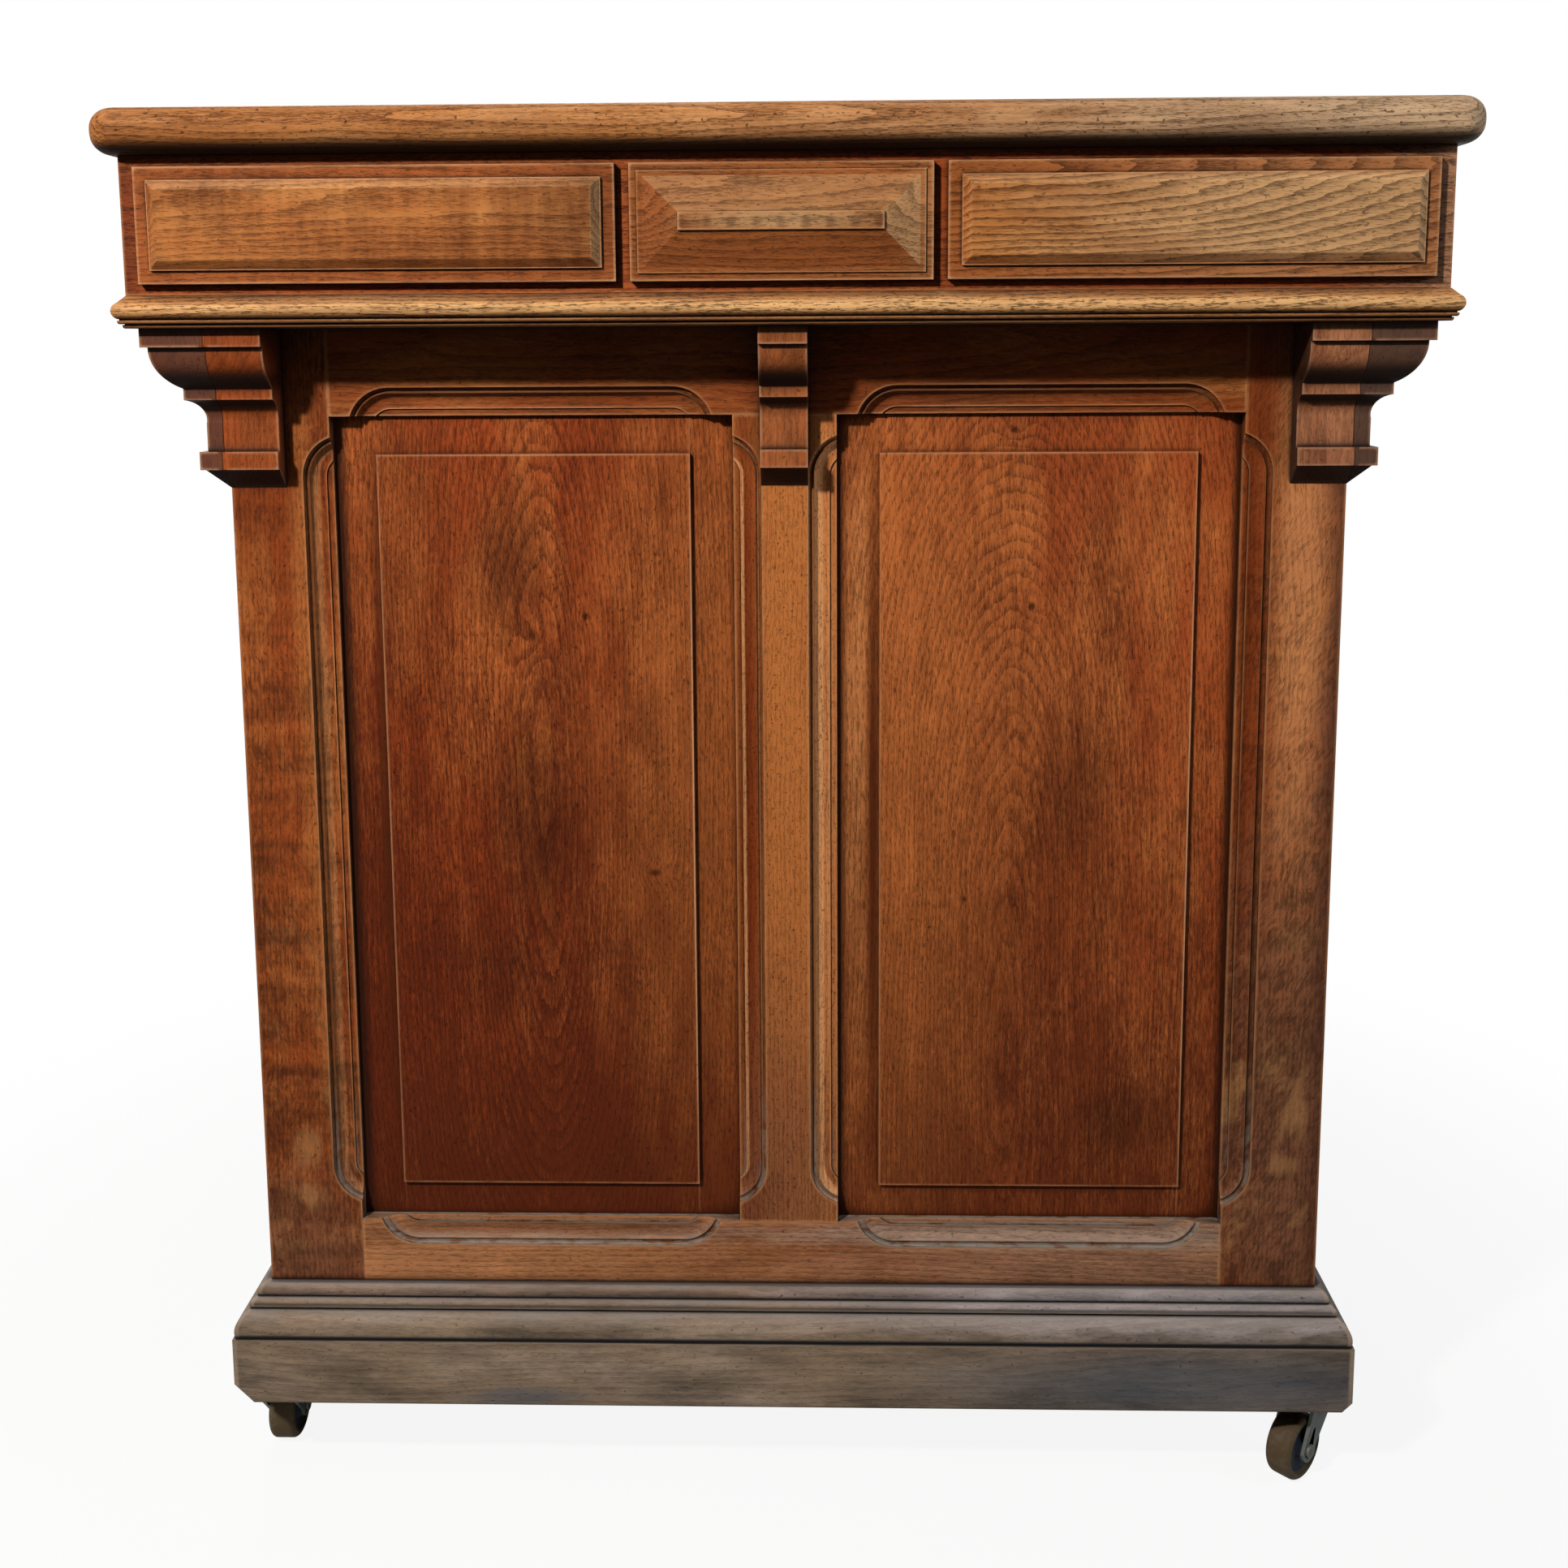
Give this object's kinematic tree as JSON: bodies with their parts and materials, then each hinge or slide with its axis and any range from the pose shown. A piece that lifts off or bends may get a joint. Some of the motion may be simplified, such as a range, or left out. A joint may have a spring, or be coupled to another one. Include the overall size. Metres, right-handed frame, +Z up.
{
  "type": "shop counter",
  "caption": "Panelled oak shop counter with corbelled frieze, moulded plinth and open rear shelf, on swivel castors, with drawers behind the frieze.",
  "frame": {"origin": "on the floor under the middle of the counter top", "axes": "+X right seen from the customer's side, +Y towards the shopkeeper, +Z up"},
  "size_m": [0.934, 0.572, 1.031],
  "materials": {
    "top_oak": "worn light oak",
    "frieze_oak": "worn oak",
    "frame_oak": "aged waxed oak",
    "panel_oak": "aged waxed oak",
    "plinth_oak": "scuffed greyed oak",
    "inside_wood": "unfinished wood",
    "drawer_oak": "aged waxed oak",
    "castor_steel": "dull plated",
    "castor_tread": "worn"
  },
  "bodies": {
    "carcass": {"top_board_front": "top_oak", "top_board_rear": "top_oak", "cornice_front": "top_oak", "cornice_left": "top_oak", "cornice_right": "top_oak", "frieze_front": "frieze_oak", "frieze_left": "frieze_oak", "frieze_right": "frieze_oak", "frieze_panel_left": "frieze_oak", "frieze_panel_centre": "frieze_oak", "frieze_panel_right": "frieze_oak", "corner_post_front_left": "frame_oak", "corner_post_front_right": "frame_oak", "corner_post_rear_left": "frame_oak", "corner_post_rear_right": "frame_oak", "front_rail_top": "frame_oak", "front_rail_bottom": "frame_oak", "front_muntin": "frame_oak", "side_rail_top_left": "frame_oak", "side_rail_top_right": "frame_oak", "side_rail_bottom_left": "frame_oak", "side_rail_bottom_right": "frame_oak", "corbel_centre": "frame_oak", "corbel_front_left": "frame_oak", "corbel_front_right": "frame_oak", "corbel_side_left": "frame_oak", "corbel_side_right": "frame_oak", "corbels_rear": "frame_oak", "front_panel_left": "panel_oak", "front_panel_right": "panel_oak", "side_panel_left": "panel_oak", "side_panel_right": "panel_oak", "plinth_front": "plinth_oak", "plinth_left": "plinth_oak", "plinth_right": "plinth_oak", "rear_rail": "plinth_oak", "bottom_board": "inside_wood", "shelf": "inside_wood", "shelf_battens": "inside_wood", "drawer_deck": "inside_wood", "drawer_dividers": "inside_wood", "castor_plates": "castor_steel", "castor_screws": "castor_steel"},
    "castor_front_left": {"castor_fork_front_left": "castor_steel"},
    "wheel_front_left": {"castor_wheel_front_left": "castor_tread"},
    "castor_front_right": {"castor_fork_front_right": "castor_steel"},
    "wheel_front_right": {"castor_wheel_front_right": "castor_tread"},
    "castor_rear_left": {"castor_fork_rear_left": "castor_steel"},
    "wheel_rear_left": {"castor_wheel_rear_left": "castor_tread"},
    "castor_rear_right": {"castor_fork_rear_right": "castor_steel"},
    "wheel_rear_right": {"castor_wheel_rear_right": "castor_tread"},
    "drawer_left": {"drawer_left_front": "drawer_oak", "drawer_left_box": "inside_wood", "drawer_left_knobs": "drawer_oak"},
    "drawer_centre": {"drawer_centre_front": "drawer_oak", "drawer_centre_box": "inside_wood", "drawer_centre_knobs": "drawer_oak"},
    "drawer_right": {"drawer_right_front": "drawer_oak", "drawer_right_box": "inside_wood", "drawer_right_knobs": "drawer_oak"}
  },
  "joints": [
    {"name": "swivel_front_left", "type": "hinge", "parent": "carcass", "child": "castor_front_left", "pos_m": [-0.405, -0.199, 0.06], "axis": [0, 0, 1], "continuous": true},
    {"name": "roll_front_left", "type": "hinge", "parent": "castor_front_left", "child": "wheel_front_left", "pos_m": [-0.405, -0.177, 0.025], "axis": [1, 0, 0], "continuous": true},
    {"name": "swivel_front_right", "type": "hinge", "parent": "carcass", "child": "castor_front_right", "pos_m": [0.405, -0.199, 0.06], "axis": [0, 0, 1], "continuous": true},
    {"name": "roll_front_right", "type": "hinge", "parent": "castor_front_right", "child": "wheel_front_right", "pos_m": [0.38944, -0.21456, 0.025], "axis": [-0.7071, 0.7071, 0], "continuous": true},
    {"name": "swivel_rear_left", "type": "hinge", "parent": "carcass", "child": "castor_rear_left", "pos_m": [-0.405, 0.236, 0.06], "axis": [0, 0, 1], "continuous": true},
    {"name": "roll_rear_left", "type": "hinge", "parent": "castor_rear_left", "child": "wheel_rear_left", "pos_m": [-0.4143, 0.25594, 0.025], "axis": [0.9063, 0.4226, 0], "continuous": true},
    {"name": "swivel_rear_right", "type": "hinge", "parent": "carcass", "child": "castor_rear_right", "pos_m": [0.405, 0.236, 0.06], "axis": [0, 0, 1], "continuous": true},
    {"name": "roll_rear_right", "type": "hinge", "parent": "castor_rear_right", "child": "wheel_rear_right", "pos_m": [0.41914, 0.25285, 0.025], "axis": [0.766, -0.6428, 0], "continuous": true},
    {"name": "slide_left", "type": "slide", "parent": "carcass", "child": "drawer_left", "axis": [0, 1, 0], "range_m": [0, 0.33]},
    {"name": "slide_centre", "type": "slide", "parent": "carcass", "child": "drawer_centre", "axis": [0, 1, 0], "range_m": [0, 0.33]},
    {"name": "slide_right", "type": "slide", "parent": "carcass", "child": "drawer_right", "axis": [0, 1, 0], "range_m": [0, 0.33]}
  ]
}
